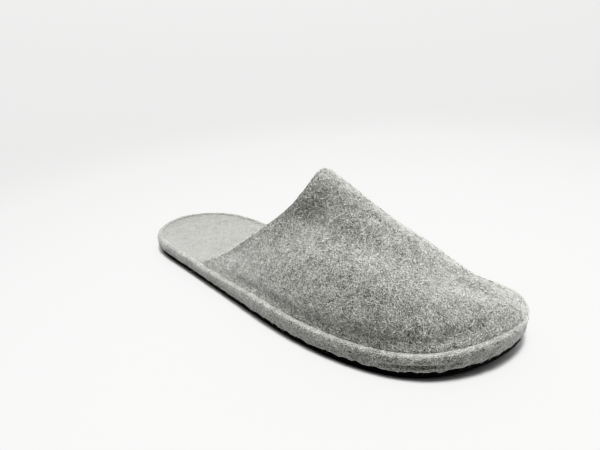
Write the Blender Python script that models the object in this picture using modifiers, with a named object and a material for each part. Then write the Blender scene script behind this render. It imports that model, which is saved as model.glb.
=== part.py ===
"""Backless felt house slipper for the right foot: outsole, rand, insole and upper as separate solids.

Frame: +X points to the toe, +Y to the inner (medial) side of the foot and +Z up. The origin lies on
the floor, under the middle of the slipper's box. Sizes are in millimetres, and become metres where
a mesh is made.
"""

import math

import bmesh
import bpy
import numpy as np

METRES = 0.001  # one millimetre

# Driving dimensions of the slipper
LENGTH = 270.0  # back of the heel to the tip of the toe
BALL_WIDTH = 101.0  # across the sole at the ball of the foot
INSTEP_HEIGHT = 85.0  # floor to the top of the collar
FELT = 3.0  # wall of the upper
GAP = 0.3  # clearance between pieces that touch

# The sole from the floor up
OUTSOLE_THICKNESS = 4.2
INSOLE_THICKNESS = 6.1
INSOLE_DISH = 1.0  # how far the footbed sinks in its middle
RAND_WALL = 2.6
RAND_HEIGHT_HEEL = 7.0
RAND_HEIGHT_VAMP = 9.9
RAND_RISE_START = 0.01  # where the rand starts to climb, past the collar's end, as a share of a side
RAND_RISE_LENGTH = 0.21
TOE_SPRING = 4.5
TOE_SPRING_START = 0.78  # share of the length
HEEL_LIFT = 0.5
HEEL_LIFT_END = 0.10  # share of the length

# The sole's outline, one row for each point: share of the length, across as a share of the ball width
OUTLINE = {
    "heel back": (0.000, 0.030),
    "heel lateral turn": (0.037, -0.200),
    "heel lateral": (0.145, -0.297),
    "waist lateral": (0.420, -0.429),
    "ball lateral": (0.650, -0.517),
    "toe lateral": (0.856, -0.432),
    "toe lateral turn": (0.963, -0.174),
    "toe tip": (1.000, 0.124),
    "toe medial turn": (0.981, 0.324),
    "toe medial": (0.921, 0.458),
    "ball medial": (0.735, 0.468),
    "waist medial": (0.420, 0.358),
    "heel medial": (0.145, 0.394),
    "heel medial turn": (0.037, 0.253),
}

# The rand's section, one row for each corner: depth inside the outline, and share of the rand's height
RAND_SECTION = {
    "inner foot": (RAND_WALL, 0.00),
    "outer foot": (1.00, 0.00),
    "lower lobe": (0.15, 0.14),
    "middle": (0.00, 0.45),
    "shoulder": (0.10, 0.74),
    "bead": (0.55, 0.91),
    "crown": (1.40, 1.00),
    "inner lip": (RAND_WALL, 0.97),
}

# The edges of the two plates, one row for each step: depth inside the outline, share of the thickness
OUTSOLE_EDGE = {"foot": (1.2, 0.0), "chamfer": (0.2, 0.3), "side": (0.0, 0.6), "top": (0.0, 1.0)}
INSOLE_EDGE = {"foot": (0.0, 0.0), "side": (0.0, 0.8), "shoulder": (0.3, 0.94), "top": (1.0, 1.0)}
OUTSOLE_INSET = 1.3  # from the rand's outer face
INSOLE_INSET = RAND_WALL + GAP

# The top line of the upper, one row for each section: share of the length, share of the instep's height,
# and how far across it lies
SPINE = {
    "collar": (0.566, 1.000, -3.0),
    "instep": (0.640, 0.889, -2.0),
    "ball": (0.740, 0.692, 1.0),
    "vamp": (0.810, 0.540, 4.5),
    "toe knuckles": (0.859, 0.415, 7.0),
    "toe box": (0.900, 0.360, 9.0),
    "toe end": (0.948, 0.315, 11.5),
}
# The curve of the upper's arches, one row for each: how far on the way from the collar to the toe, the
# inward lean and the rise of the handle at the sole (lateral, then medial), the length of the handle at
# the crown, and how round the lean is lengthwise
ARCHES = {
    "collar": (0.00, 0.09, 0.40, 0.09, 0.40, 0.52, 0.0),
    "instep": (0.30, 0.04, 0.46, 0.18, 0.40, 0.47, 0.1),
    "ball": (0.60, -0.04, 0.66, 0.28, 0.43, 0.50, 0.4),
    "toes": (0.85, -0.04, 0.68, 0.42, 0.50, 0.53, 0.8),
    "toe tip": (1.00, 0.00, 0.56, 0.00, 0.56, 0.54, 1.0),
}
COLLAR_END_LATERAL = 0.270  # where the collar meets the sole, as a share of each side
COLLAR_END_MEDIAL = 0.300
COLLAR_LEAN = 1.48  # how early on its way up the collar runs forward
UPPER_INSET = RAND_WALL + GAP
SPRING_LINE_DROP = 0.4  # below the rand's top, where the upper starts to arch
LEAST_SKIRT = 1.0  # the upright foot of the upper at the collar's ends

# Mesh density
SIDE_STATIONS = 48  # along each side of the sole
ARCH_ROWS = 36  # from the collar to the toe
ARCH_STEPS = 12  # from the sole to the top line
DISH_COLUMNS = (0.0, 0.12, 0.3, 0.5, 0.7, 0.88, 1.0)  # shares of the way across the footbed
OUTLINE_SAMPLES = 1440

# Heights above the floor where the sole lies flat
OUTSOLE_TOP = OUTSOLE_THICKNESS
INSOLE_FOOT = OUTSOLE_TOP + GAP
INSOLE_TOP = INSOLE_FOOT + INSOLE_THICKNESS
RAND_FOOT = OUTSOLE_TOP + GAP
UPPER_FOOT = INSOLE_TOP + GAP

COLOURS = {
    "felt_grey": ((0.30, 0.30, 0.29), 0.95),
    "felt_pale": ((0.55, 0.55, 0.53), 0.95),
    "sole_black": ((0.012, 0.012, 0.012), 0.7),
}


def spline(knots, values, at, period=None):
    """A cubic through values at knots: natural at its ends, or closed over a period."""
    knots, values = np.asarray(knots, float), np.asarray(values, float)
    if period is not None:
        knots, values = np.append(knots, period), np.vstack([values, values[:1]])
    steps = np.diff(knots)
    slopes = np.diff(values, axis=0) / steps.reshape(-1, *[1] * (values.ndim - 1))
    count = len(knots)
    system, right = np.zeros((count, count)), np.zeros(values.shape)
    for row in range(1, count - 1):
        system[row, row - 1 : row + 2] = steps[row - 1], 2 * (steps[row - 1] + steps[row]), steps[row]
        right[row] = 6 * (slopes[row] - slopes[row - 1])
    if period is None:
        system[0, 0] = system[-1, -1] = 1
    else:
        system[0, [0, -1]] = 1, -1
        system[-1, [0, 1, -2, -1]] = 2 * steps[0], steps[0], steps[-1], 2 * steps[-1]
        right[-1] = 6 * (slopes[0] - slopes[-1])
    bend = np.linalg.solve(system, right)
    at = np.atleast_1d(at)
    piece = np.clip(np.searchsorted(knots, at, side="right") - 1, 0, count - 2)
    column = (-1,) + (1,) * (values.ndim - 1)
    step = steps[piece].reshape(column)
    past, left = (at - knots[piece]).reshape(column), (knots[piece + 1] - at).reshape(column)
    return (
        (bend[piece] * left**3 + bend[piece + 1] * past**3) / (6 * step)
        + (values[piece] / step - bend[piece] * step / 6) * left
        + (values[piece + 1] / step - bend[piece + 1] * step / 6) * past
    )


def smooth_step(value):
    value = np.clip(value, 0, 1)
    return value * value * (3 - 2 * value)


def sole_lift(along):
    """How far the sole rises off the floor: the toe spring, and the slight lift at the back of the heel."""
    share = np.asarray(along) / LENGTH
    toe = np.clip((share - TOE_SPRING_START) / (1 - TOE_SPRING_START), 0, 1)
    heel = np.clip((HEEL_LIFT_END - share) / HEEL_LIFT_END, 0, 1)
    return TOE_SPRING * toe**2 + HEEL_LIFT * heel**2


def outline_sides():
    """The lateral and the medial side of the outline, each from heel to toe: points and outward normals."""
    points = np.array(list(OUTLINE.values())) * (LENGTH, BALL_WIDTH)
    chords = np.sqrt(np.linalg.norm(np.roll(points, -1, axis=0) - points, axis=1))
    knots = np.concatenate([[0], np.cumsum(chords)[:-1]])
    period = chords.sum()
    curve = spline(knots, points, np.linspace(0, period, OUTLINE_SAMPLES, endpoint=False), period)
    heading = np.roll(curve, -1, axis=0) - np.roll(curve, 1, axis=0)
    heading /= np.linalg.norm(heading, axis=1)[:, None]
    normals = np.stack([heading[:, 1], -heading[:, 0]], axis=1)
    heel, toe = curve[:, 0].argmin(), curve[:, 0].argmax()
    onward = (heel + np.arange((toe - heel) % OUTLINE_SAMPLES + 1)) % OUTLINE_SAMPLES
    backward = (heel - np.arange((heel - toe) % OUTLINE_SAMPLES + 1)) % OUTLINE_SAMPLES
    return [(curve[index], normals[index]) for index in (onward, backward)]


LATERAL, MEDIAL = outline_sides()
WHOLE_OUTLINE = np.vstack([LATERAL[0], MEDIAL[0]])
BOX_CENTRE = (WHOLE_OUTLINE.min(axis=0) + WHOLE_OUTLINE.max(axis=0)) / 2


def side_at(side, shares, inset):
    """Points of one side at shares of its length, moved in from the outline."""
    points, normals = side
    lengths = np.concatenate([[0], np.cumsum(np.linalg.norm(np.diff(points, axis=0), axis=1))])
    at = np.asarray(shares) * lengths[-1]
    moved = points - inset * normals
    return np.stack([np.interp(at, lengths, moved[:, axis]) for axis in (0, 1)], axis=1)


def ring(inset):
    """The outline as a closed ring of stations: lateral from heel to toe, then medial back again."""
    shares = np.arange(SIDE_STATIONS + 1) / SIDE_STATIONS
    lateral, medial = side_at(LATERAL, shares, inset), side_at(MEDIAL, shares, inset)
    return np.vstack([lateral, medial[-2:0:-1]])


def raised(points, level):
    """Plan points at a level above the floor, lifted with the sole."""
    return np.column_stack([points, level + sole_lift(points[:, 0])])


def grid_faces(rows, columns, first=0, close_rows=False, close_columns=False):
    """Quads between neighbouring rows of points that are numbered row by row."""
    faces = []
    for row in range(rows if close_rows else rows - 1):
        below, above = first + row * columns, first + (row + 1) % rows * columns
        for column in range(columns if close_columns else columns - 1):
            following = (column + 1) % columns
            faces.append((below + column, below + following, above + following, above + column))
    return faces


def make_object(name, points, faces, colour, collection):
    """A mesh object from points in millimetres, with doubled points welded and its faces turned out."""
    moved = (np.asarray(points) - (*BOX_CENTRE, 0)) * METRES
    mesh = bpy.data.meshes.new(name)
    mesh.from_pydata(moved.tolist(), [], faces)
    cleaner = bmesh.new()
    cleaner.from_mesh(mesh)
    bmesh.ops.remove_doubles(cleaner, verts=cleaner.verts, dist=1e-6)
    bmesh.ops.dissolve_degenerate(cleaner, edges=cleaner.edges, dist=1e-6)
    bmesh.ops.recalc_face_normals(cleaner, faces=cleaner.faces)
    cleaner.to_mesh(mesh)
    cleaner.free()
    mesh.shade_smooth()
    mesh.set_sharp_from_angle(angle=math.radians(40))
    mesh.materials.append(material(colour))
    made = bpy.data.objects.new(name, mesh)
    collection.objects.link(made)
    return made


def material(name):
    """The Principled material of that name, made when it is first asked for."""
    found = bpy.data.materials.get(name)
    if found is None:
        colour, roughness = COLOURS[name]
        found = bpy.data.materials.new(name)
        found.use_nodes = True
        shader = found.node_tree.nodes["Principled BSDF"]
        shader.inputs["Base Color"].default_value = (*colour, 1)
        shader.inputs["Roughness"].default_value = roughness
        shader.inputs["Metallic"].default_value = 0
    return found


def plate(name, edge, inset, levels, colour, collection):
    """A sole plate: its edge is stepped by a table, and its top may sink in a dish between heel and toe."""
    foot, thickness, dish = levels
    rings = [raised(ring(inset + depth), foot + share * thickness) for depth, share in edge.values()]
    stations = len(rings[0])
    points = np.vstack(rings)
    faces = grid_faces(len(rings), stations, close_columns=True)
    shares = np.arange(SIDE_STATIONS + 1) / SIDE_STATIONS
    sinking = dish * np.sin(math.pi * shares) ** 0.5
    for bound, columns, sink in ((rings[0], (0.0, 1.0), 0 * shares), (rings[-1], DISH_COLUMNS, sinking)):
        lateral = bound[: SIDE_STATIONS + 1]
        medial = bound[np.arange(stations, SIDE_STATIONS - 1, -1) % stations]
        across = np.asarray(columns)[None, :, None]
        rungs = lateral[:, None] * (1 - across) + medial[:, None] * across
        rungs[:, :, 2] -= sink[:, None] * np.sin(math.pi * np.asarray(columns))[None]
        faces += grid_faces(SIDE_STATIONS + 1, len(columns), first=len(points))
        points = np.vstack([points, rungs.reshape(-1, 3)])
    return make_object(name, points, faces, colour, collection)


def rand_height(shares, collar_end):
    """The rand is low round the heel and climbs to its full height where the collar ends."""
    climb = smooth_step((np.asarray(shares) - collar_end - RAND_RISE_START) / RAND_RISE_LENGTH)
    return RAND_HEIGHT_HEEL + (RAND_HEIGHT_VAMP - RAND_HEIGHT_HEEL) * climb


def rand_sections():
    """The rand's section at each station of the sole."""
    shares = np.arange(SIDE_STATIONS + 1) / SIDE_STATIONS
    lateral = rand_height(shares, COLLAR_END_LATERAL)
    medial = rand_height(shares, COLLAR_END_MEDIAL)
    height = np.concatenate([lateral, medial[-2:0:-1]])
    corners = [raised(ring(depth), RAND_FOOT + share * height) for depth, share in RAND_SECTION.values()]
    return np.stack(corners, axis=1)


def build_rand(collection):
    """The felt edge strip: its section swept once round the sole."""
    sections = rand_sections()
    faces = grid_faces(*sections.shape[:2], close_rows=True, close_columns=True)
    return make_object("rand", sections.reshape(-1, 3), faces, "felt_grey", collection)


def half_arch(base, top, handle, crown, roundness):
    """A line of points up one side of the upper, from the sole to its top line."""
    lean, rise = handle
    way = np.linspace(0, 1, ARCH_STEPS + 1)
    first, second, third = 3 * way * (1 - way) ** 2, 3 * way**2 * (1 - way), way**3
    inward = lean * first + (1 - crown) * second + third
    upward = rise * first + second + third
    forward = (1 - roundness) * (1 - (1 - upward) ** COLLAR_LEAN) + roundness * inward
    arch = base + (top - base) * np.stack([forward, inward, upward], axis=1)
    foot = [base[0], base[1], UPPER_FOOT + sole_lift(base[0])]
    return np.vstack([foot, arch])


def upper_arches():
    """The arches of the felt vamp's outer face from the collar to the toe, each from lateral to medial."""
    way = np.linspace(0, 1, ARCH_ROWS)
    arches = np.array(list(ARCHES.values()))
    curves = spline(arches[:, 0], arches[:, 1:], way)
    spine = np.array(list(SPINE.values()))
    spine_way = (spine[:, 0] - spine[0, 0]) / (spine[-1, 0] - spine[0, 0])
    tops = spline(spine_way, spine * (LENGTH, INSTEP_HEIGHT, 1), way)[:, [0, 2, 1]]
    feet = []
    for side, collar_end in ((LATERAL, COLLAR_END_LATERAL), (MEDIAL, COLLAR_END_MEDIAL)):
        shares = collar_end + (1 - collar_end) * way
        plan = side_at(side, shares, UPPER_INSET)
        rand_line = RAND_FOOT + rand_height(shares, collar_end) - SPRING_LINE_DROP
        feet.append(raised(plan, np.maximum(rand_line, UPPER_FOOT + LEAST_SKIRT)))
    rows = []
    for row in range(ARCH_ROWS):
        handles, (crown, roundness) = curves[row, :4].reshape(2, 2), curves[row, 4:]
        lateral, medial = (
            half_arch(foot[row], tops[row], handle, crown, roundness) for foot, handle in zip(feet, handles)
        )
        rows.append(np.vstack([lateral, medial[-2::-1]]))
    return np.array(rows)


def build_upper(collection):
    """The felt vamp: one open surface over the arches, with a wall inside it."""
    rows = upper_arches()
    faces = grid_faces(*rows.shape[:2])
    upper = make_object("upper", rows.reshape(-1, 3), faces, "felt_grey", collection)
    wall = upper.modifiers.new("felt wall", "SOLIDIFY")
    wall.thickness = FELT * METRES
    wall.offset = -1
    wall.use_even_offset = True
    return upper


def clear_scene():
    for old in list(bpy.data.objects):
        bpy.data.objects.remove(old)


def main():
    clear_scene()
    collection = bpy.data.collections.new("felt_slipper")
    bpy.context.scene.collection.children.link(collection)
    outsole_levels = (0, OUTSOLE_THICKNESS, 0)
    insole_levels = (INSOLE_FOOT, INSOLE_THICKNESS, INSOLE_DISH)
    plate("outsole", OUTSOLE_EDGE, OUTSOLE_INSET, outsole_levels, "sole_black", collection)
    plate("insole", INSOLE_EDGE, INSOLE_INSET, insole_levels, "felt_pale", collection)
    build_rand(collection)
    build_upper(collection)


main()
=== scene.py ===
"""Looks of a backless grey felt slipper for the right foot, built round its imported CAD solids.

Sizes are in millimetres in the CAD's own frame, measured from the back of the heel, and become metres
where a mesh is made.
"""

import math

import bmesh
import bpy
import numpy as np
from mathutils import Matrix, Vector, noise


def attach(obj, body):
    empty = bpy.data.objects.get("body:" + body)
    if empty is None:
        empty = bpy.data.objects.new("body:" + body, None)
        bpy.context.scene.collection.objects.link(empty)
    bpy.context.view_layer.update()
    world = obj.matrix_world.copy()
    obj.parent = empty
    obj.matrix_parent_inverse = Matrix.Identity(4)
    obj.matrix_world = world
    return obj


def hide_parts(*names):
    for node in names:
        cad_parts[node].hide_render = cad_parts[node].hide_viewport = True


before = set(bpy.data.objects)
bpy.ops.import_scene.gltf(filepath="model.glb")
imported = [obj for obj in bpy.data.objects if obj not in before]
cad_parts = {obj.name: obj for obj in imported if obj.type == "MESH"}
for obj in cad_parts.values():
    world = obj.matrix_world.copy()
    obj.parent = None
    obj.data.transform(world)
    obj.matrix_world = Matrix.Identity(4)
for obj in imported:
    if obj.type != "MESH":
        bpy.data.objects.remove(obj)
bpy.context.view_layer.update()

METRES = 0.001  # one millimetre

# The slipper's sizes, as in the CAD
LENGTH = 270.0
BALL_WIDTH = 101.0
INSTEP_HEIGHT = 85.0
FELT = 3.0
GAP = 0.3
OUTSOLE_THICKNESS = 4.2
INSOLE_THICKNESS = 6.1
INSOLE_DISH = 1.0
RAND_WALL = 2.6
RAND_HEIGHT_HEEL = 7.0
RAND_HEIGHT_VAMP = 9.9
RAND_RISE_START = 0.01
RAND_RISE_LENGTH = 0.21
TOE_SPRING = 4.5
TOE_SPRING_START = 0.78
HEEL_LIFT = 0.5
HEEL_LIFT_END = 0.10

# The sole's outline, one row for each point: share of the length, across as a share of the ball width
OUTLINE = {
    "heel back": (0.000, 0.030),
    "heel lateral turn": (0.037, -0.200),
    "heel lateral": (0.145, -0.297),
    "waist lateral": (0.420, -0.429),
    "ball lateral": (0.650, -0.517),
    "toe lateral": (0.856, -0.432),
    "toe lateral turn": (0.963, -0.174),
    "toe tip": (1.000, 0.124),
    "toe medial turn": (0.981, 0.324),
    "toe medial": (0.921, 0.458),
    "ball medial": (0.735, 0.468),
    "waist medial": (0.420, 0.358),
    "heel medial": (0.145, 0.394),
    "heel medial turn": (0.037, 0.253),
}
# The top line of the upper, one row for each section: share of the length, share of the instep's height,
# and how far across it lies
SPINE = {
    "collar": (0.566, 1.000, -3.0),
    "instep": (0.640, 0.889, -2.0),
    "ball": (0.740, 0.692, 1.0),
    "vamp": (0.810, 0.540, 4.5),
    "toe knuckles": (0.859, 0.415, 7.0),
    "toe box": (0.900, 0.360, 9.0),
    "toe end": (0.948, 0.315, 11.5),
}
# The curve of the upper's arches, one row for each: how far on the way from the collar to the toe, the
# inward lean and the rise of the handle at the sole (lateral, then medial), the length of the handle at
# the crown, and how round the lean is lengthwise
ARCHES = {
    "collar": (0.00, 0.09, 0.40, 0.09, 0.40, 0.52, 0.0),
    "instep": (0.30, 0.04, 0.46, 0.18, 0.40, 0.47, 0.1),
    "ball": (0.60, -0.04, 0.66, 0.28, 0.43, 0.50, 0.4),
    "toes": (0.85, -0.04, 0.68, 0.42, 0.50, 0.53, 0.8),
    "toe tip": (1.00, 0.00, 0.56, 0.00, 0.56, 0.54, 1.0),
}
COLLAR_END_LATERAL = 0.270
COLLAR_END_MEDIAL = 0.300
COLLAR_LEAN = 1.48
INNER_INSET = RAND_WALL + GAP
SPRING_LINE_DROP = 0.4
LEAST_SKIRT = 1.0
INSOLE_FOOT = OUTSOLE_THICKNESS + GAP
INSOLE_TOP = INSOLE_FOOT + INSOLE_THICKNESS
RAND_FOOT = OUTSOLE_THICKNESS + GAP
UPPER_FOOT = INSOLE_TOP + GAP
OUTLINE_SAMPLES = 2880

# Density of the felt skins
UPPER_ROWS = 170  # from the collar to the toe
UPPER_STEPS = 78  # from the seam to the top line
SKIRT_STEPS = 3  # from the upper's foot to the seam
RAND_STATIONS = 300  # along each side
INSOLE_STATIONS = 170
INSOLE_COLUMNS = 56
RIM_STEPS = 4  # round the cut edge of the collar, an even number
RIM_SQUARENESS = 0.6  # power of the edge's section, less than one for a full, boxy turn
COLLAR_BULGE = 0.6
RELAXED_REACH = 9.0  # round the end of the top line, where all rows meet
RELAXED_TIMES = 60
LEAST_PULL = 0.001  # below which a point isn't relaxed
SECTION_ROUNDING = 2  # times that the corners of the rand's section are cut
WELD_DISTANCE = 1e-6  # metres
COLLAR_TRIM = 0.0045  # share of the way to the toe that makes room for the bulge

# Troughs (negative) and ridges of the upper, one row for each: side, middle on the way from the collar to
# the toe, half length as a share of that way, place up the side (measured from the seam, or where negative
# down from the top line), how far it climbs over the whole way, half width and height
UPPER_FOLDS = {
    "side trough": ("lateral", 0.26, 0.22, 6.0, 0.0, 5.0, -1.3),
    "side bulge": ("lateral", 0.28, 0.24, 40.0, 0.0, 17.0, 2.2),
    "foot trough": ("lateral", 0.69, 0.23, 6.5, 0.0, 5.5, -2.5),
    "ball bulge": ("lateral", 0.67, 0.21, 32.0, -50.0, 14.0, 3.0),
    "toe flare": ("lateral", 0.83, 0.07, 7.0, 0.0, 6.0, -1.4),
    "toe welt": ("lateral", 0.99, 0.07, 1.5, 0.0, 3.5, 0.9),
    "inner toe welt": ("medial", 0.99, 0.10, 1.5, 0.0, 3.5, 0.9),
    "collar lean": ("lateral", 0.00, 0.13, 27.0, 0.0, 16.0, -2.0),
    "collar curl": ("lateral", 0.00, 0.06, 18.0, 0.0, 24.0, -2.4),
    "collar valley": ("lateral", 0.14, 0.09, -24.0, 0.0, 20.0, -4.4),
    "ridge hollow": ("lateral", 0.30, 0.26, -26.0, 20.0, 10.0, -3.2),
}
SEAM_REACH = 2.5  # above the seam, over which the small lumps set in
TOP_REACH = 14.0  # below the top line, over which the folds die away
# Small lumps of the felt, one row for each: height, size, and seed of the noise
UPPER_LUMPS = ((0.30, 26.0, 1), (0.20, 9.0, 2), (0.09, 3.2, 3))
RAND_LUMPS = ((0.24, 7.0, 4), (0.20, 2.6, 5))
INSOLE_LUMPS = ((0.30, 11.0, 6), (0.20, 4.0, 7))
NOISE_STEP = (17.3, 5.9, 11.1)  # between the noises of two seeds

# The rand's section, one row for each corner: depth inside the outline, and share of the rand's height.
# The inner lip runs into the upper's wall, and round the heel over the footbed's edge, so that no gap shows
RAND_SECTION = {
    "inner foot": (RAND_WALL, 0.00),
    "outer foot": (1.20, 0.01),
    "lower lobe": (0.30, 0.15),
    "middle": (0.00, 0.50),
    "shoulder": (0.15, 0.78),
    "bead": (0.60, 0.95),
    "crown": (1.80, 1.02),
    "inner lip": (INNER_INSET + 2.0, 0.97),
}
RAND_LUMPY_DEPTH = 2.0  # inside the outline, where the lumps end
# The seam of the rand's two felt layers: its depth, and its level and half width as shares of the height
RAND_SEAM_DEPTH = 0.12
RAND_SEAM_LEVEL = 0.40
RAND_SEAM_WIDTH = 0.11
RAND_SEAM_END = 1.0  # depth inside the outline past which a point isn't on the rand's face
# Where the seam opens: middle as a share of the lateral side, half length, and depth
RAND_SEAM_OPEN = (0.80, 0.045, 1.60)
# The ragged lower edge of the rand: how far it hangs, the size and the seed of its tatters, and where they
# end, as a share of the rand's height and a depth inside the outline
RAGGED_DROP = 1.0
RAGGED_SIZE = 3.5
RAGGED_SEED = 8
RAGGED_LEVEL = 0.25
RAGGED_DEPTH = 1.2
# The rand's paler upper edge, a painted highlight: depth inside the outline and share of the height where it
# starts
HIGHLIGHT_DEPTH = 0.4
HIGHLIGHT_LEVEL = 0.9

# The footbed's edge, one row for each step: depth inside its outline, share of the thickness
INSOLE_EDGE = {"foot": (0.0, 0.0), "side": (-0.25, 0.9), "shoulder": (0.1, 1.12), "top": (1.4, 1.06)}
DISH_FULLNESS = 0.5  # power of the dish's lengthwise curve, less than one for a long, flat middle
INSOLE_LUMP_RISE = 4.0  # how quickly the lumps set in from the edge

# Loose hairs of the felt, one row for each piece: number, length, root thickness, rise off the surface as a
# share of the length, and seed
HAIRS = {
    "upper": (19500, 2.4, 0.20, 0.55, 11),
    "rand": (14000, 1.6, 0.18, 0.5, 12),
    "insole": (6000, 1.8, 0.08, 0.3, 13),
}
HAIR_SPREAD = 0.35  # of the lengths, on a logarithmic scale
HAIR_FLATNESS = 1.5  # power of the rise, more than one to keep most hairs low
HAIR_BEND = (0.65, 0.5)  # how far a hair's second half keeps its direction, and turns to another
HAIR_TIP_RISE = (0.3, 0.8)  # mean and spread of the second half's rise, as shares of the first half's
HAIR_ROOT_DEPTH = 0.15
HAIR_STOUTNESS = (0.6, 1.2)  # least and most thickness, as shares of the piece's
HAIR_TAPER = 0.8  # thickness at the bend as a share of that at the root

# Tones of the wool, one row for each felt: dark, middle and pale speckles, and the contrast between them
WOOL = {
    "felt_grey": ((0.013, 0.170, 0.480), 1.9),
    # A paler copy of the grey felt for the footbed, painted light for its up-facing, top-lit face
    "felt_pale": ((0.088, 0.210, 0.352), 4.0),
    # A paler copy of the grey felt: the collar's cut edge, and a painted highlight on the rand's upper edge
    "felt_edge": ((0.040, 0.250, 0.560), 1.7),
}
WOOL_BLUE = 0.935  # as a share of the red
HAIR_TONES = ((0.2, 0.10), (0.6, 0.70))  # dark up to the first share of the hairs, pale past the second
SPECKLE_SCALE = 2500.0  # speckles, flecks and clouds to a metre
FLECK_SCALE = 850.0
CLOUD_SCALE = 170.0
FLECK_OFFSET = (0.13, 0.29, 0.37)
FLECK_TONE = 0.12  # of the contrast
CLOUD_TONE = 0.5
# Thin lines like single fibres: scale, offset and width
PALE_FIBRES = (520.0, (0.31, 0.17, 0.05), 0.030)
DARK_FIBRES = (640.0, (0.07, 0.41, 0.23), 0.034)
FIBRE_TONE = 0.12  # of the contrast
FIBRE_WANDER = {"detail": 1.5, "distortion": 0.6}
FIBRE_RELIEF = 0.5  # height of the pale lines as a share of the speckles'
FELT_BUMP = {"Strength": 0.6, "Distance": 0.5 * METRES}
RUBBER_GRAIN = 1400.0
RUBBER_BUMP = {"Strength": 0.5, "Distance": 0.2 * METRES}
RUBBER_TONE = 0.004

# The camera, fitted to the photograph: turns in degrees, distance and shifts from the middle of the sole
CAMERA = {"azimuth": 39.6, "pitch": 25.8, "roll": 2.9, "distance": 360.3, "right": -1.5, "up": 39.4}
CAMERA_LENS = 33.0
CAMERA_SENSOR = 36.0
CAMERA_NEAR = 0.01  # metres

# The lights, with directions as seen in the photograph: to the right, into the depth, and up
# Each wall of the light tent: direction and strength
TENT_WALLS = {
    "left back": ((-0.75, 0.66, 0.45), 1.00),
    "back": ((0.15, 1.0, 0.40), 3.70),
    "right": ((1.0, -0.35, 0.45), 0.80),
    "left": ((-1.0, -0.1, 0.35), 0.05),
}
KEY_LIGHT = ((0.0, -0.06, 1.0), 0.2, 14.0)  # direction, strength, angle
POOL_LIGHT = {"place": (0.06, -0.10, 1.20), "watts": 95.0, "spread": 40.0, "softness": 0.7, "radius": 0.20}
TENT_FOCUS = 2.0  # power of the fall-off round each wall's direction
FLOOR_TONE = (0.600, 0.600, 0.596)
FLOOR_HALF = 8.0  # metres


def spline(knots, values, at, period=None):
    """A cubic through values at knots: natural at its ends, or closed over a period."""
    knots, values = np.asarray(knots, float), np.asarray(values, float)
    if period is not None:
        knots, values = np.append(knots, period), np.vstack([values, values[:1]])
    steps = np.diff(knots)
    slopes = np.diff(values, axis=0) / steps.reshape(-1, *[1] * (values.ndim - 1))
    count = len(knots)
    system, right = np.zeros((count, count)), np.zeros(values.shape)
    for row in range(1, count - 1):
        system[row, row - 1 : row + 2] = steps[row - 1], 2 * (steps[row - 1] + steps[row]), steps[row]
        right[row] = 6 * (slopes[row] - slopes[row - 1])
    if period is None:
        system[0, 0] = system[-1, -1] = 1
    else:
        system[0, [0, -1]] = 1, -1
        system[-1, [0, 1, -2, -1]] = 2 * steps[0], steps[0], steps[-1], 2 * steps[-1]
        right[-1] = 6 * (slopes[0] - slopes[-1])
    bend = np.linalg.solve(system, right)
    at = np.atleast_1d(at)
    piece = np.clip(np.searchsorted(knots, at, side="right") - 1, 0, count - 2)
    column = (-1,) + (1,) * (values.ndim - 1)
    step = steps[piece].reshape(column)
    past, left = (at - knots[piece]).reshape(column), (knots[piece + 1] - at).reshape(column)
    return (
        (bend[piece] * left**3 + bend[piece + 1] * past**3) / (6 * step)
        + (values[piece] / step - bend[piece] * step / 6) * left
        + (values[piece + 1] / step - bend[piece + 1] * step / 6) * past
    )


def smooth_step(value):
    value = np.clip(value, 0, 1)
    return value * value * (3 - 2 * value)


def sole_lift(along):
    """How far the sole rises off the floor: the toe spring, and the slight lift at the back of the heel."""
    share = np.asarray(along) / LENGTH
    toe = np.clip((share - TOE_SPRING_START) / (1 - TOE_SPRING_START), 0, 1)
    heel = np.clip((HEEL_LIFT_END - share) / HEEL_LIFT_END, 0, 1)
    return TOE_SPRING * toe**2 + HEEL_LIFT * heel**2


def outline_sides():
    """The lateral and the medial side of the outline, each from heel to toe: points and outward normals."""
    points = np.array(list(OUTLINE.values())) * (LENGTH, BALL_WIDTH)
    chords = np.sqrt(np.linalg.norm(np.roll(points, -1, axis=0) - points, axis=1))
    knots = np.concatenate([[0], np.cumsum(chords)[:-1]])
    period = chords.sum()
    curve = spline(knots, points, np.linspace(0, period, OUTLINE_SAMPLES, endpoint=False), period)
    heading = np.roll(curve, -1, axis=0) - np.roll(curve, 1, axis=0)
    heading /= np.linalg.norm(heading, axis=1)[:, None]
    normals = np.stack([heading[:, 1], -heading[:, 0]], axis=1)
    heel, toe = curve[:, 0].argmin(), curve[:, 0].argmax()
    onward = (heel + np.arange((toe - heel) % OUTLINE_SAMPLES + 1)) % OUTLINE_SAMPLES
    backward = (heel - np.arange((heel - toe) % OUTLINE_SAMPLES + 1)) % OUTLINE_SAMPLES
    return [(curve[index], normals[index]) for index in (onward, backward)]


LATERAL, MEDIAL = outline_sides()
WHOLE_OUTLINE = np.vstack([LATERAL[0], MEDIAL[0]])
BOX_CENTRE = (WHOLE_OUTLINE.min(axis=0) + WHOLE_OUTLINE.max(axis=0)) / 2


def side_at(side, shares, inset):
    """Points of one side at shares of its length, moved in from the outline."""
    points, normals = side
    lengths = np.concatenate([[0], np.cumsum(np.linalg.norm(np.diff(points, axis=0), axis=1))])
    at = np.asarray(shares) * lengths[-1]
    moved = points - inset * normals
    return np.stack([np.interp(at, lengths, moved[:, axis]) for axis in (0, 1)], axis=1)


def ring(inset, stations):
    """The outline as a closed ring of stations: lateral from heel to toe, then medial back again."""
    shares = np.arange(stations + 1) / stations
    lateral, medial = side_at(LATERAL, shares, inset), side_at(MEDIAL, shares, inset)
    return np.vstack([lateral, medial[-2:0:-1]])


def raised(points, level):
    """Plan points at a level above the floor, lifted with the sole."""
    return np.column_stack([points, level + sole_lift(points[:, 0])])


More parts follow.
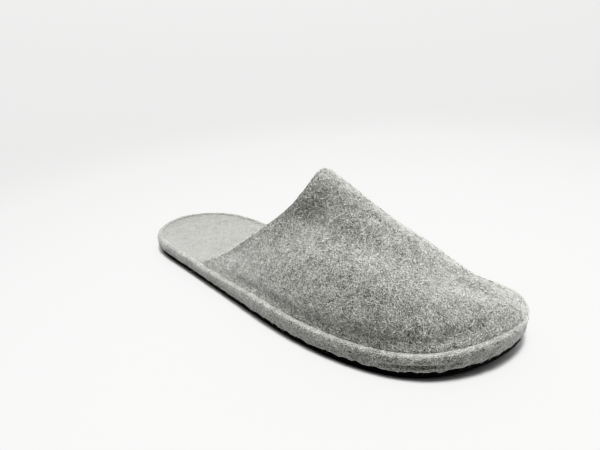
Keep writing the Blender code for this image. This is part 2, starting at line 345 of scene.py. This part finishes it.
def grid_faces(rows, columns, first=0, close_rows=False, close_columns=False):
    """Quads between neighbouring rows of points that are numbered row by row."""
    row = np.arange(rows if close_rows else rows - 1)[:, None]
    column = np.arange(columns if close_columns else columns - 1)[None]
    below, above = first + row * columns, first + (row + 1) % rows * columns
    following = (column + 1) % columns
    corners = [below + column, below + following, above + following, above + column]
    return np.stack(corners, axis=-1).reshape(-1, 4)


def point_normals(points, faces):
    """Normals at the points, from the quads that meet there."""
    corners = points[faces]
    facing = np.cross(corners[:, 2] - corners[:, 0], corners[:, 3] - corners[:, 1])
    normals = np.zeros(points.shape)
    for corner in range(4):
        np.add.at(normals, faces[:, corner], facing)
    return normals / np.maximum(np.linalg.norm(normals, axis=1), 1e-12)[:, None]


def lumps(points, size, seed):
    """Smooth noise at points, with features of about the given size, between about -1 and 1."""
    offset = Vector([seed * step for step in NOISE_STEP])
    return np.array([noise.noise(Vector(point) / size + offset) for point in points])


def unevenness(points, table):
    """Height of the felt's small lumps at points."""
    return sum(height * lumps(points, size, seed) for height, size, seed in table)


def to_frame(points):
    """Points in millimetres from the heel, as metres in the CAD's frame."""
    return (np.asarray(points) - (*BOX_CENTRE, 0)) * METRES


def make_object(name, points, faces, material):
    """A smooth mesh object, from a list of faces, that rides on the slipper's one body."""
    mesh = bpy.data.meshes.new(name)
    mesh.from_pydata(to_frame(points).tolist(), [], faces)
    mesh.shade_smooth()
    mesh.materials.append(material)
    made = bpy.data.objects.new(name, mesh)
    bpy.context.scene.collection.objects.link(made)
    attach(made, "root")
    return made


def rand_height(shares, collar_end):
    """The rand is low round the heel and climbs to its full height where the collar ends."""
    climb = smooth_step((np.asarray(shares) - collar_end - RAND_RISE_START) / RAND_RISE_LENGTH)
    return RAND_HEIGHT_HEEL + (RAND_HEIGHT_VAMP - RAND_HEIGHT_HEEL) * climb


def half_arch(base, top, handle, crown, roundness):
    """A line of points up one side of the upper, from the sole to its top line."""
    lean, rise = handle
    way = np.linspace(0, 1, UPPER_STEPS + 1)
    first, second, third = 3 * way * (1 - way) ** 2, 3 * way**2 * (1 - way), way**3
    inward = lean * first + (1 - crown) * second + third
    upward = rise * first + second + third
    forward = (1 - roundness) * (1 - (1 - upward) ** COLLAR_LEAN) + roundness * inward
    arch = base + (top - base) * np.stack([forward, inward, upward], axis=1)
    foot = np.array([base[0], base[1], UPPER_FOOT + sole_lift(base[0])])
    skirt = foot + (base - foot) * np.linspace(0, 1, SKIRT_STEPS + 1)[:-1, None]
    return np.vstack([skirt, arch])


def upper_grid():
    """The outer face of the upper: rows from the collar to the toe, each from lateral to medial."""
    way = np.linspace(COLLAR_TRIM, 1, UPPER_ROWS)
    arches = np.array(list(ARCHES.values()))
    curves = spline(arches[:, 0], arches[:, 1:], way)
    spine = np.array(list(SPINE.values()))
    spine_way = (spine[:, 0] - spine[0, 0]) / (spine[-1, 0] - spine[0, 0])
    tops = spline(spine_way, spine * (LENGTH, INSTEP_HEIGHT, 1), way)[:, [0, 2, 1]]
    feet = []
    for side, collar_end in ((LATERAL, COLLAR_END_LATERAL), (MEDIAL, COLLAR_END_MEDIAL)):
        shares = collar_end + (1 - collar_end) * way
        plan = side_at(side, shares, INNER_INSET)
        rand_line = RAND_FOOT + rand_height(shares, collar_end) - SPRING_LINE_DROP
        feet.append(raised(plan, np.maximum(rand_line, UPPER_FOOT + LEAST_SKIRT)))
    rows = []
    for row in range(UPPER_ROWS):
        handles, (crown, roundness) = curves[row, :4].reshape(2, 2), curves[row, 4:]
        lateral, medial = (
            half_arch(foot[row], tops[row], handle, crown, roundness) for foot, handle in zip(feet, handles)
        )
        rows.append(np.vstack([lateral, medial[-2::-1]]))
    return np.array(rows)


def side_girths(grid):
    """The columns of each side of the upper's grid, with how far up the side its points lie from the seam."""
    half = grid.shape[1] // 2
    for side, lines in (("lateral", slice(0, half + 1)), ("medial", slice(None, half - 1, -1))):
        steps = np.linalg.norm(np.diff(grid[:, lines], axis=1), axis=2)
        girth = np.concatenate([np.zeros((len(grid), 1)), np.cumsum(steps, axis=1)], axis=1)
        yield side, lines, girth - girth[:, SKIRT_STEPS, None]


def fold_height(grid):
    """Height of the listed folds over the upper's grid."""
    way = np.linspace(0, 1, len(grid))[:, None]
    height = np.zeros(grid.shape[:2])
    for side, lines, girth in side_girths(grid):
        total = 0
        for fold_side, middle, half_length, place, climb, half_width, rise in UPPER_FOLDS.values():
            if fold_side == side:
                measured = girth if place > 0 else girth - girth[:, -1:]
                sideways = (measured - place - climb * (way - middle)) / half_width
                total = total + rise * np.exp(-(((way - middle) / half_length) ** 2) - sideways**2)
        height[:, lines] = total * smooth_step((girth[:, -1:] - girth) / TOP_REACH)
    return height


def above_seam(grid):
    """How freely the felt moves: not in the seam, and fully a little above it."""
    free = np.zeros(grid.shape[:2])
    for _, lines, girth in side_girths(grid):
        free[:, lines] = smooth_step(girth / SEAM_REACH)
    return free


def relaxed(points, faces, middle):
    """Points drawn to the mean of their neighbours, near the middle only."""
    pull = np.exp(-((np.linalg.norm(points - middle, axis=1) / RELAXED_REACH) ** 2))[:, None]
    links = np.vstack([faces[:, [0, 1]], faces[:, [1, 2]], faces[:, [2, 3]], faces[:, [3, 0]]])
    links = links[pull[links[:, 0], 0] > LEAST_PULL]
    count = np.zeros((len(points), 1))
    np.add.at(count, links[:, 0], 1)
    np.add.at(count, links[:, 1], 1)
    for _ in range(RELAXED_TIMES):
        total = np.zeros(points.shape)
        np.add.at(total, links[:, 0], points[links[:, 1]])
        np.add.at(total, links[:, 1], points[links[:, 0]])
        points = points + pull * np.where(count > 0, total / np.maximum(count, 1) - points, 0)
    return points


def soft_rim(outer, inner, away, bulge):
    """Rows of points from an outer edge round to the inner one, like the soft cut edge of felt."""
    rows = []
    for turn in np.linspace(0, math.pi, RIM_STEPS + 2)[1:-1]:
        across, out = math.cos(turn), math.sin(turn)
        across = math.copysign(abs(across) ** RIM_SQUARENESS, across)
        out = bulge * out**RIM_SQUARENESS
        rows.append((outer + inner) / 2 + (outer - inner) / 2 * across + away * out)
    return rows


def build_upper(material, edge_material):
    """The felt upper as one shell: an uneven outer face, a wall inside it and a soft, paler cut edge."""
    grid = upper_grid()
    rows, columns = grid.shape[:2]
    outer = grid.reshape(-1, 3)
    # The two halves of the last row meet at the tip of the toe
    last = (rows - 1) * columns
    merged = np.arange(len(outer))
    merged[last:] = last + np.minimum(np.arange(columns), columns - 1 - np.arange(columns))
    faces = merged[grid_faces(rows, columns)][:, ::-1]
    outer = relaxed(outer, faces, outer[last + columns // 2])[merged]
    normals = point_normals(outer, faces)[merged]
    free = above_seam(grid).reshape(-1)
    uneven = unevenness(outer, UPPER_LUMPS)
    folds = fold_height(grid).reshape(-1)
    inner = outer + normals * (folds - FELT)[:, None]
    outer = outer + normals * (uneven * free + folds)[:, None]
    # The collar's edge runs along the first row, and the foot's along the first and the last column
    collar = np.arange(columns)
    foot = np.concatenate([np.arange(rows) * columns, np.arange(rows - 2, -1, -1) * columns + columns - 1])
    away = outer[collar] - outer[collar + columns]
    away /= np.linalg.norm(away, axis=1)[:, None]
    rim = soft_rim(outer[collar], inner[collar], away, COLLAR_BULGE)
    points = np.vstack([outer, inner, *rim])
    rim_rows = 2 * len(outer) + columns * np.arange(RIM_STEPS)[:, None] + collar
    strips = [collar, *rim_rows, len(outer) + collar]
    shell = [faces, len(outer) + faces[:, ::-1]]
    for first, second in zip(strips[:-1], strips[1:]):
        shell.append(np.stack([first[:-1], first[1:], second[1:], second[:-1]], axis=1))
    rim_start, rim_end = 2 * len(faces), sum(len(part) for part in shell)
    for column in (0, columns - 1):
        end = [strip[column] for strip in strips]
        caps = [(end[step], end[step + 1], end[-2 - step], end[-1 - step]) for step in range(RIM_STEPS // 2)]
        shell.append(np.array(caps))
    shell[-2] = shell[-2][:, ::-1]
    sole_side = merged[foot]
    shell.append(np.stack([sole_side[1:], sole_side[:-1], sole_side[:-1], sole_side[1:]], axis=1))
    shell[-1][:, 2:] += len(outer)
    faces = np.vstack(shell)
    used, index = np.unique(faces, return_inverse=True)
    points, faces = points[used], index.reshape(faces.shape)
    normals = point_normals(points, faces)
    made = make_object("upper_felt", points, faces.tolist(), material)
    made.data.materials.append(edge_material)
    edge = np.zeros(len(faces), np.int32)
    edge[rim_start:rim_end] = 1
    made.data.polygons.foreach_set("material_index", edge)
    weld(made)
    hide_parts("upper")
    shown = (used < len(outer)) | (used >= 2 * len(outer))
    return points, normals, faces, shown


def rounded_section(section, times):
    """A closed section with its corners cut again and again, which rounds them."""
    points = np.array(list(section.values()))
    for _ in range(times):
        ahead = np.roll(points, -1, axis=0)
        points = np.stack([0.75 * points + 0.25 * ahead, 0.25 * points + 0.75 * ahead], axis=1).reshape(-1, 2)
    return points


def build_rand(material, edge_material):
    """The felt edge strip, with the seam of its two layers and a paler upper edge, a painted highlight."""
    shares = np.arange(RAND_STATIONS + 1) / RAND_STATIONS
    lateral = rand_height(shares, COLLAR_END_LATERAL)
    medial = rand_height(shares, COLLAR_END_MEDIAL)
    height = np.concatenate([lateral, medial[-2:0:-1]])
    middle, half_length, depth = RAND_SEAM_OPEN
    opening = depth * np.exp(-(((shares - middle) / half_length) ** 2))
    seam = RAND_SEAM_DEPTH + np.concatenate([opening, np.zeros(RAND_STATIONS - 1)])
    section = rounded_section(RAND_SECTION, SECTION_ROUNDING)
    corners = []
    for depth_in, level in section:
        seam_share = math.exp(-(((level - RAND_SEAM_LEVEL) / RAND_SEAM_WIDTH) ** 2))
        pressed = seam * seam_share * (depth_in < RAND_SEAM_END)
        plan = ring(depth_in, RAND_STATIONS)
        inward = ring(depth_in + 1.0, RAND_STATIONS) - plan
        corners.append(raised(plan + inward * pressed[:, None], RAND_FOOT + level * height))
    grid = np.stack(corners, axis=1)
    points = grid.reshape(-1, 3)
    faces = grid_faces(*grid.shape[:2], close_rows=True, close_columns=True)
    normals = point_normals(points, faces)
    if ((points - points.mean(axis=0)) * normals).sum() < 0:
        faces, normals = faces[:, ::-1], -normals
    depths, levels = np.tile(section, (len(grid), 1)).T
    points = points + normals * (unevenness(points, RAND_LUMPS) * (depths < RAND_LUMPY_DEPTH))[:, None]
    low = np.clip(1 - levels / RAGGED_LEVEL, 0, 1) * (depths < RAGGED_DEPTH)
    points[:, 2] += low * RAGGED_DROP * (lumps(points, RAGGED_SIZE, RAGGED_SEED) - 0.5)
    made = make_object("rand_felt", points, faces.tolist(), material)
    made.data.materials.append(edge_material)
    # Painted highlight: the faces along the rand's top wear the paler felt
    painted_highlight = (depths > HIGHLIGHT_DEPTH) & (levels > HIGHLIGHT_LEVEL)
    made.data.polygons.foreach_set("material_index", painted_highlight[faces].all(axis=1).astype(np.int32))
    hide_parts("rand")
    return points, normals, faces, np.ones(len(points), bool)


def build_insole(material):
    """The felt footbed: a plate with a soft edge and a slightly dished, uneven top."""
    rings = []
    for depth, share in INSOLE_EDGE.values():
        level = INSOLE_FOOT + share * INSOLE_THICKNESS
        rings.append(raised(ring(INNER_INSET + depth, INSOLE_STATIONS), level))
    stations = len(rings[0])
    points = np.vstack(rings)
    faces = [grid_faces(len(rings), stations, close_columns=True)]
    shares = np.arange(INSOLE_STATIONS + 1) / INSOLE_STATIONS
    sinking = INSOLE_DISH * np.sin(math.pi * shares) ** DISH_FULLNESS
    columns = np.linspace(0, 1, INSOLE_COLUMNS)
    underside = (rings[0], np.array([0.0, 1.0]), 0 * shares)
    for bound, across, sink in (underside, (rings[-1], columns, sinking)):
        lateral = bound[: INSOLE_STATIONS + 1]
        medial = bound[np.arange(stations, INSOLE_STATIONS - 1, -1) % stations]
        rungs = lateral[:, None] * (1 - across[None, :, None]) + medial[:, None] * across[None, :, None]
        rungs[:, :, 2] -= sink[:, None] * np.sin(math.pi * across)[None]
        faces.append(grid_faces(INSOLE_STATIONS + 1, len(across), first=len(points)))
        first_top = len(points)
        points = np.vstack([points, rungs.reshape(-1, 3)])
    top = points[first_top:]
    inside = np.outer(np.sin(math.pi * shares), np.sin(math.pi * columns)).reshape(-1)
    top[:, 2] += unevenness(top, INSOLE_LUMPS) * smooth_step(INSOLE_LUMP_RISE * inside)
    made = make_object("insole_felt", points, np.vstack(faces).tolist(), material)
    weld(made)
    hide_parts("insole")
    top_faces = faces[-1] - first_top
    normals = point_normals(top, top_faces)
    normals *= np.sign(normals[:, 2:3])
    return top, normals, top_faces, np.ones(len(top), bool)


def weld(made):
    """Joins doubled points and turns the faces out."""
    cleaner = bmesh.new()
    cleaner.from_mesh(made.data)
    bmesh.ops.remove_doubles(cleaner, verts=cleaner.verts, dist=WELD_DISTANCE)
    bmesh.ops.dissolve_degenerate(cleaner, edges=cleaner.edges, dist=WELD_DISTANCE)
    bmesh.ops.recalc_face_normals(cleaner, faces=cleaner.faces)
    cleaner.to_mesh(made.data)
    cleaner.free()
    made.data.shade_smooth()


def build_hairs(name, surface, settings, material):
    """Loose hairs that lie over a felt face: each is a thin three-sided spike with one bend in it."""
    count, length, thickness, rise, seed = settings
    points, normals, faces, shown = surface
    rng = np.random.default_rng(seed)
    corners = points[faces]
    area = np.linalg.norm(np.cross(corners[:, 2] - corners[:, 0], corners[:, 3] - corners[:, 1]), axis=1)
    area = area * shown[faces].all(axis=1)
    chosen = rng.choice(len(faces), count, p=area / area.sum())
    u, v = rng.random((2, count, 1))
    weights = [(1 - u) * (1 - v), u * (1 - v), u * v, (1 - u) * v]
    root = sum(weight * points[faces[chosen, corner]] for corner, weight in enumerate(weights))
    normal = sum(weight * normals[faces[chosen, corner]] for corner, weight in enumerate(weights))
    normal /= np.linalg.norm(normal, axis=1)[:, None]
    first = tangents(normal, rng)
    second = tangents(normal, rng)
    reach = length * rng.lognormal(0, HAIR_SPREAD, (count, 1))
    lift = rise * rng.random((count, 1)) ** HAIR_FLATNESS
    middle = root + reach * 0.5 * (first + lift * normal)
    kept, turned = HAIR_BEND
    bent = kept * first + turned * second
    tip = middle + reach * 0.5 * (bent + lift * rng.normal(*HAIR_TIP_RISE, (count, 1)) * normal)
    root = root - HAIR_ROOT_DEPTH * normal
    radius = thickness / 2 * rng.uniform(*HAIR_STOUTNESS, (count, 1))
    side = np.cross(first, normal)
    spikes = []
    for centre, share in ((root, 1.0), (middle, HAIR_TAPER)):
        for turn in (0, 2 * math.pi / 3, 4 * math.pi / 3):
            spikes.append(centre + share * radius * (math.cos(turn) * side + math.sin(turn) * normal))
    spikes.append(tip)
    sides = [(3, 4, 1, 0), (4, 5, 2, 1), (5, 3, 0, 2)]
    ends = [(1, 2, 0), (6, 4, 3), (6, 5, 4), (6, 3, 5)]
    hair_faces = []
    for face in sides + ends:
        hair_faces += (np.arange(count)[:, None] * len(spikes) + np.array(face)[None]).tolist()
    made = make_object(name, np.stack(spikes, axis=1).reshape(-1, 3), hair_faces, material)


def tangents(normal, rng):
    """A random direction along the surface for each normal."""
    loose = rng.normal(size=normal.shape)
    loose -= (loose * normal).sum(axis=1)[:, None] * normal
    return loose / np.linalg.norm(loose, axis=1)[:, None]


class Nodes:
    """Adds nodes to a node tree."""

    def __init__(self, tree):
        self.tree = tree

    def node(self, kind, inputs=None, **settings):
        made = self.tree.nodes.new("ShaderNode" + kind)
        for name, value in settings.items():
            setattr(made, name, value)
        for name, value in (inputs or {}).items():
            if isinstance(value, bpy.types.NodeSocket):
                self.tree.links.new(value, made.inputs[name])
            else:
                made.inputs[name].default_value = value
        return made

    def math(self, operation, first, second=0.0, third=0.0):
        made = self.node("Math", {0: first, 1: second, 2: third}, operation=operation)
        return made.outputs[0]

    def noise(self, where, scale, detail=2.0, distortion=0.0):
        inputs = {"Vector": where, "Scale": scale, "Detail": detail, "Distortion": distortion}
        return self.node("TexNoise", inputs).outputs["Fac"]

    def remap(self, value, low, high, new_low, new_high):
        inputs = {"Value": value, "From Min": low, "From Max": high, "To Min": new_low, "To Max": new_high}
        return self.node("MapRange", inputs).outputs["Result"]

    def shifted(self, where, offset):
        return self.node("VectorMath", {0: where, 1: offset}, operation="ADD").outputs["Vector"]


class Shader(Nodes):
    """A new material and its node tree."""

    def __init__(self, name):
        self.material = bpy.data.materials.new(name)
        self.material.use_nodes = True
        super().__init__(self.material.node_tree)
        self.principled = self.tree.nodes["Principled BSDF"]

    def surface(self, inputs):
        """Links sockets to the surface's inputs, and sets the inputs that are the same all over."""
        for name, value in inputs.items():
            if isinstance(value, bpy.types.NodeSocket):
                self.tree.links.new(value, self.principled.inputs[name])
            else:
                self.principled.inputs[name].default_value = value


def wool_colour(tone):
    """A grey of the wool, a little warm."""
    return (tone, tone, tone * WOOL_BLUE, 1)


def fibre_lines(shader, where, scale, offset, width):
    """Thin wandering lines like wool fibres: one on the line, zero off it."""
    field = shader.noise(shader.shifted(where, offset), scale, **FIBRE_WANDER)
    away = shader.math("ABSOLUTE", shader.math("SUBTRACT", field, 0.5))
    return shader.remap(away, 0.0, width, 1.0, 0.0)


def felt_material(name):
    """Melange felt: speckles of dark and pale wool, fine fibres over them and a matted, matt surface."""
    levels, contrast = WOOL[name]
    shader = Shader(name)
    where = shader.node("TexCoord").outputs["Object"]
    speckle = shader.noise(where, SPECKLE_SCALE, detail=0.0)
    flecks = shader.noise(shader.shifted(where, FLECK_OFFSET), FLECK_SCALE, detail=1.0)
    clouds = shader.noise(where, CLOUD_SCALE)
    pale_lines = fibre_lines(shader, where, *PALE_FIBRES)
    dark_lines = fibre_lines(shader, where, *DARK_FIBRES)
    tone = 0.5
    for field, share in ((speckle, contrast), (flecks, FLECK_TONE * contrast), (clouds, CLOUD_TONE)):
        tone = shader.math("MULTIPLY_ADD", shader.math("SUBTRACT", field, 0.5), share, tone)
    tone = shader.math("MULTIPLY_ADD", pale_lines, FIBRE_TONE * contrast, tone)
    tone = shader.math("MULTIPLY_ADD", dark_lines, -FIBRE_TONE * contrast, tone)
    ramp = shader.node("ValToRGB", {"Fac": tone})
    stops = ramp.color_ramp.elements
    stops[0].position, stops[1].position = 0.0, 1.0
    stops.new(0.5)
    for stop, level in zip(stops, levels):
        stop.color = wool_colour(level)
    height = shader.math("MULTIPLY_ADD", pale_lines, FIBRE_RELIEF, speckle)
    bump = shader.node("Bump", {"Height": height, **FELT_BUMP})
    shader.surface({"Base Color": ramp.outputs["Color"], "Normal": bump.outputs["Normal"], "Roughness": 0.95})
    shader.surface({"Specular IOR Level": 0.15, "Sheen Weight": 1.0, "Sheen Roughness": 0.4})
    return shader.material


def hair_material():
    """Single wool hairs, some dark and more of them pale."""
    shader = Shader("hair_grey")
    chance = shader.node("NewGeometry").outputs["Random Per Island"]
    ramp = shader.node("ValToRGB", {"Fac": chance})
    for stop, (position, tone) in zip(ramp.color_ramp.elements, HAIR_TONES):
        stop.position, stop.color = position, wool_colour(tone)
    shader.surface({"Base Color": ramp.outputs["Color"], "Roughness": 0.8, "Specular IOR Level": 0.2})
    return shader.material


def rubber_material():
    """Black rubber with a fine grain."""
    shader = Shader("sole_rubber")
    where = shader.node("TexCoord").outputs["Object"]
    bump = shader.node("Bump", {"Height": shader.noise(where, RUBBER_GRAIN), **RUBBER_BUMP})
    shader.surface({"Base Color": (*[RUBBER_TONE] * 3, 1), "Normal": bump.outputs["Normal"]})
    shader.surface({"Roughness": 0.75, "Specular IOR Level": 0.15})
    return shader.material


def build_camera():
    """The photograph's view: turned, tipped and slightly rolled."""
    azimuth, pitch, roll = (math.radians(CAMERA[key]) for key in ("azimuth", "pitch", "roll"))
    level = math.cos(pitch)
    back = Vector((math.sin(azimuth) * level, -math.cos(azimuth) * level, math.sin(pitch)))
    right = Vector((math.cos(azimuth), math.sin(azimuth), 0))
    up = back.cross(right)
    place = Vector((LENGTH / 2, 0, 0)) - Vector((*BOX_CENTRE, 0))
    place += right * CAMERA["right"] + up * CAMERA["up"] + back * CAMERA["distance"]
    rolled_right = right * math.cos(roll) - up * math.sin(roll)
    rolled_up = right * math.sin(roll) + up * math.cos(roll)
    turned = Matrix((rolled_right, rolled_up, back)).transposed().to_4x4()
    turned.translation = place * METRES
    data = bpy.data.cameras.new("camera")
    data.sensor_width = CAMERA_SENSOR
    data.lens = CAMERA_LENS
    data.clip_start = CAMERA_NEAR
    camera = bpy.data.objects.new("camera", data)
    camera.matrix_world = turned
    bpy.context.scene.collection.objects.link(camera)
    bpy.context.scene.camera = camera


def build_floor():
    """A plain pale floor that runs out of sight."""
    mesh = bpy.data.meshes.new("floor")
    corners = [(FLOOR_HALF * x, FLOOR_HALF * y, 0) for x, y in ((-1, -1), (1, -1), (1, 1), (-1, 1))]
    mesh.from_pydata(corners, [], [(0, 1, 2, 3)])
    shader = Shader("floor_white")
    shader.surface({"Base Color": (*FLOOR_TONE, 1), "Roughness": 0.7, "Specular IOR Level": 0.2})
    mesh.materials.append(shader.material)
    floor = bpy.data.objects.new("floor", mesh)
    bpy.context.scene.collection.objects.link(floor)


def sun_light(name, toward, strength, angle):
    """A far, soft light that comes from the given direction."""
    data = bpy.data.lights.new(name, "SUN")
    data.energy = strength
    data.angle = math.radians(angle)
    light = bpy.data.objects.new(name, data)
    light.rotation_mode = "QUATERNION"
    light.rotation_quaternion = Vector(toward).to_track_quat("Z", "Y")
    bpy.context.scene.collection.objects.link(light)


def view_vector(right, back, up):
    """A vector given as seen in the photograph: to its right, away into its depth, and up."""
    azimuth = math.radians(CAMERA["azimuth"])
    across = Vector((math.cos(azimuth), math.sin(azimuth), 0))
    depth = Vector((-math.sin(azimuth), math.cos(azimuth), 0))
    return across * right + depth * back + Vector((0, 0, up))


def pool_light():
    """A soft round light overhead that leaves the far floor a little darker."""
    data = bpy.data.lights.new("pool", "SPOT")
    data.energy = POOL_LIGHT["watts"]
    data.spot_size = math.radians(POOL_LIGHT["spread"])
    data.spot_blend = POOL_LIGHT["softness"]
    data.shadow_soft_size = POOL_LIGHT["radius"]
    light = bpy.data.objects.new("pool", data)
    light.location = view_vector(*POOL_LIGHT["place"])
    bpy.context.scene.collection.objects.link(light)


def build_lights():
    """A soft light tent, brightest behind and dark on the camera's side, with a round light overhead."""
    bpy.context.scene.view_settings.view_transform = "Khronos PBR Neutral"
    world = bpy.data.worlds.new("studio")
    bpy.context.scene.world = world
    world.use_nodes = True
    shader = Nodes(world.node_tree)
    where = shader.node("TexCoord").outputs["Generated"]
    strength = 0.0
    for toward, level in TENT_WALLS.values():
        wall = view_vector(*toward).normalized()
        facing = shader.node("VectorMath", {0: where, 1: wall}, operation="DOT_PRODUCT").outputs["Value"]
        facing = shader.math("POWER", shader.math("MAXIMUM", facing, 0.0), TENT_FOCUS)
        strength = shader.math("MULTIPLY_ADD", facing, level, strength)
    background = world.node_tree.nodes["Background"].inputs
    background["Color"].default_value = (1, 1, 1, 1)
    world.node_tree.links.new(strength, background["Strength"])
    toward, strength, angle = KEY_LIGHT
    sun_light("key", view_vector(*toward), strength, angle)
    pool_light()


def main():
    """Dresses the solids in felt and rubber, and sets up the studio."""
    grey, pale = felt_material("felt_grey"), felt_material("felt_pale")
    grey_hair = hair_material()
    # Paler felt for the collar's cut edge, and a painted highlight on the rand's upper edge
    edge = felt_material("felt_edge")
    upper = build_upper(grey, edge)
    rand = build_rand(grey, edge)
    # The footbed's paler felt is painted light for its top-lit face
    insole = build_insole(pale)
    build_hairs("upper_hairs", upper, HAIRS["upper"], grey_hair)
    build_hairs("rand_hairs", rand, HAIRS["rand"], grey_hair)
    build_hairs("insole_hairs", insole, HAIRS["insole"], grey_hair)
    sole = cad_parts["outsole"]
    sole.data.materials.clear()
    sole.data.materials.append(rubber_material())
    build_camera()
    build_floor()
    build_lights()


main()
